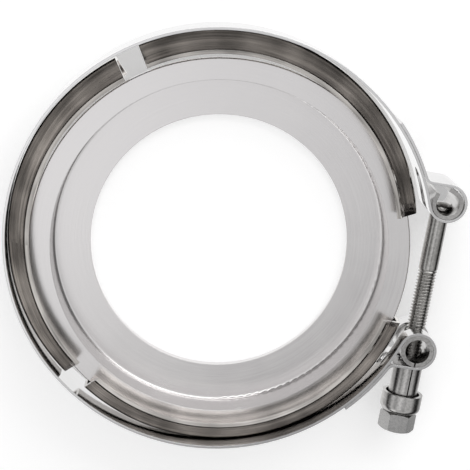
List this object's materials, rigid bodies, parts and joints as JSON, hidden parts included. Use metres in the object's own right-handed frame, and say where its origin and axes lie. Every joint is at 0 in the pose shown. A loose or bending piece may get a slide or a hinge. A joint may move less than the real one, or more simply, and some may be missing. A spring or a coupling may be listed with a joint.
{
  "type": "v-band clamp",
  "caption": "Loosened T-bolt V-band clamp lying flat: strap with V-retainers, cross-head bolt, sleeve, cup washer and nut, with a recessed weld flange lying loose in its channel.",
  "frame": {"origin": "on the ring's axis, halfway across the strap's width, where two clamped flanges meet", "axes": "+Z along the ring's axis, up as the clamp lies flat and out of the flange's recess; +X from the axis towards the side that carries the T-bolt; +Y towards the bolt's head end"},
  "size_m": [0.14, 0.13, 0.02],
  "materials": {
    "strap_steel": "bright rolled stainless strip",
    "retainer_steel": "polished roll-formed stainless",
    "rolled_steel": "bright rolled stainless sheet",
    "bolt_steel": "bright stainless bar, thread left plain",
    "pressed_steel": "polished pressed stainless",
    "nut_steel": "bright stainless with smooth flats",
    "flange_steel": "turned stainless with fine concentric lathe marks"
  },
  "bodies": {
    "clamp": {"strap_band": "strap_steel", "v_retainer_upper": "retainer_steel", "v_retainer_left": "retainer_steel", "v_retainer_lower": "retainer_steel", "bolt_saddle": "rolled_steel", "t_bolt": "bolt_steel", "nut_trunnion": "rolled_steel", "spacer_sleeve": "rolled_steel", "weld_flange": "flange_steel"},
    "washer": {"cup_washer": "pressed_steel"},
    "nut": {"hex_nut": "nut_steel"}
  },
  "joints": [
    {"name": "washer_travel", "type": "slide", "parent": "clamp", "child": "washer", "axis": [-0.1719, -0.9851, 0], "range_m": [0, 0.0045]},
    {"name": "nut_turn", "type": "hinge", "parent": "washer", "child": "nut", "pos_m": [0.05662, -0.05969, 0], "axis": [-0.1719, -0.9851, 0], "range_deg": [0, 1620]}
  ],
  "couplings": [
    {"joint": "nut_turn", "follows": "washer_travel", "rad_per_m": 6283.2}
  ]
}
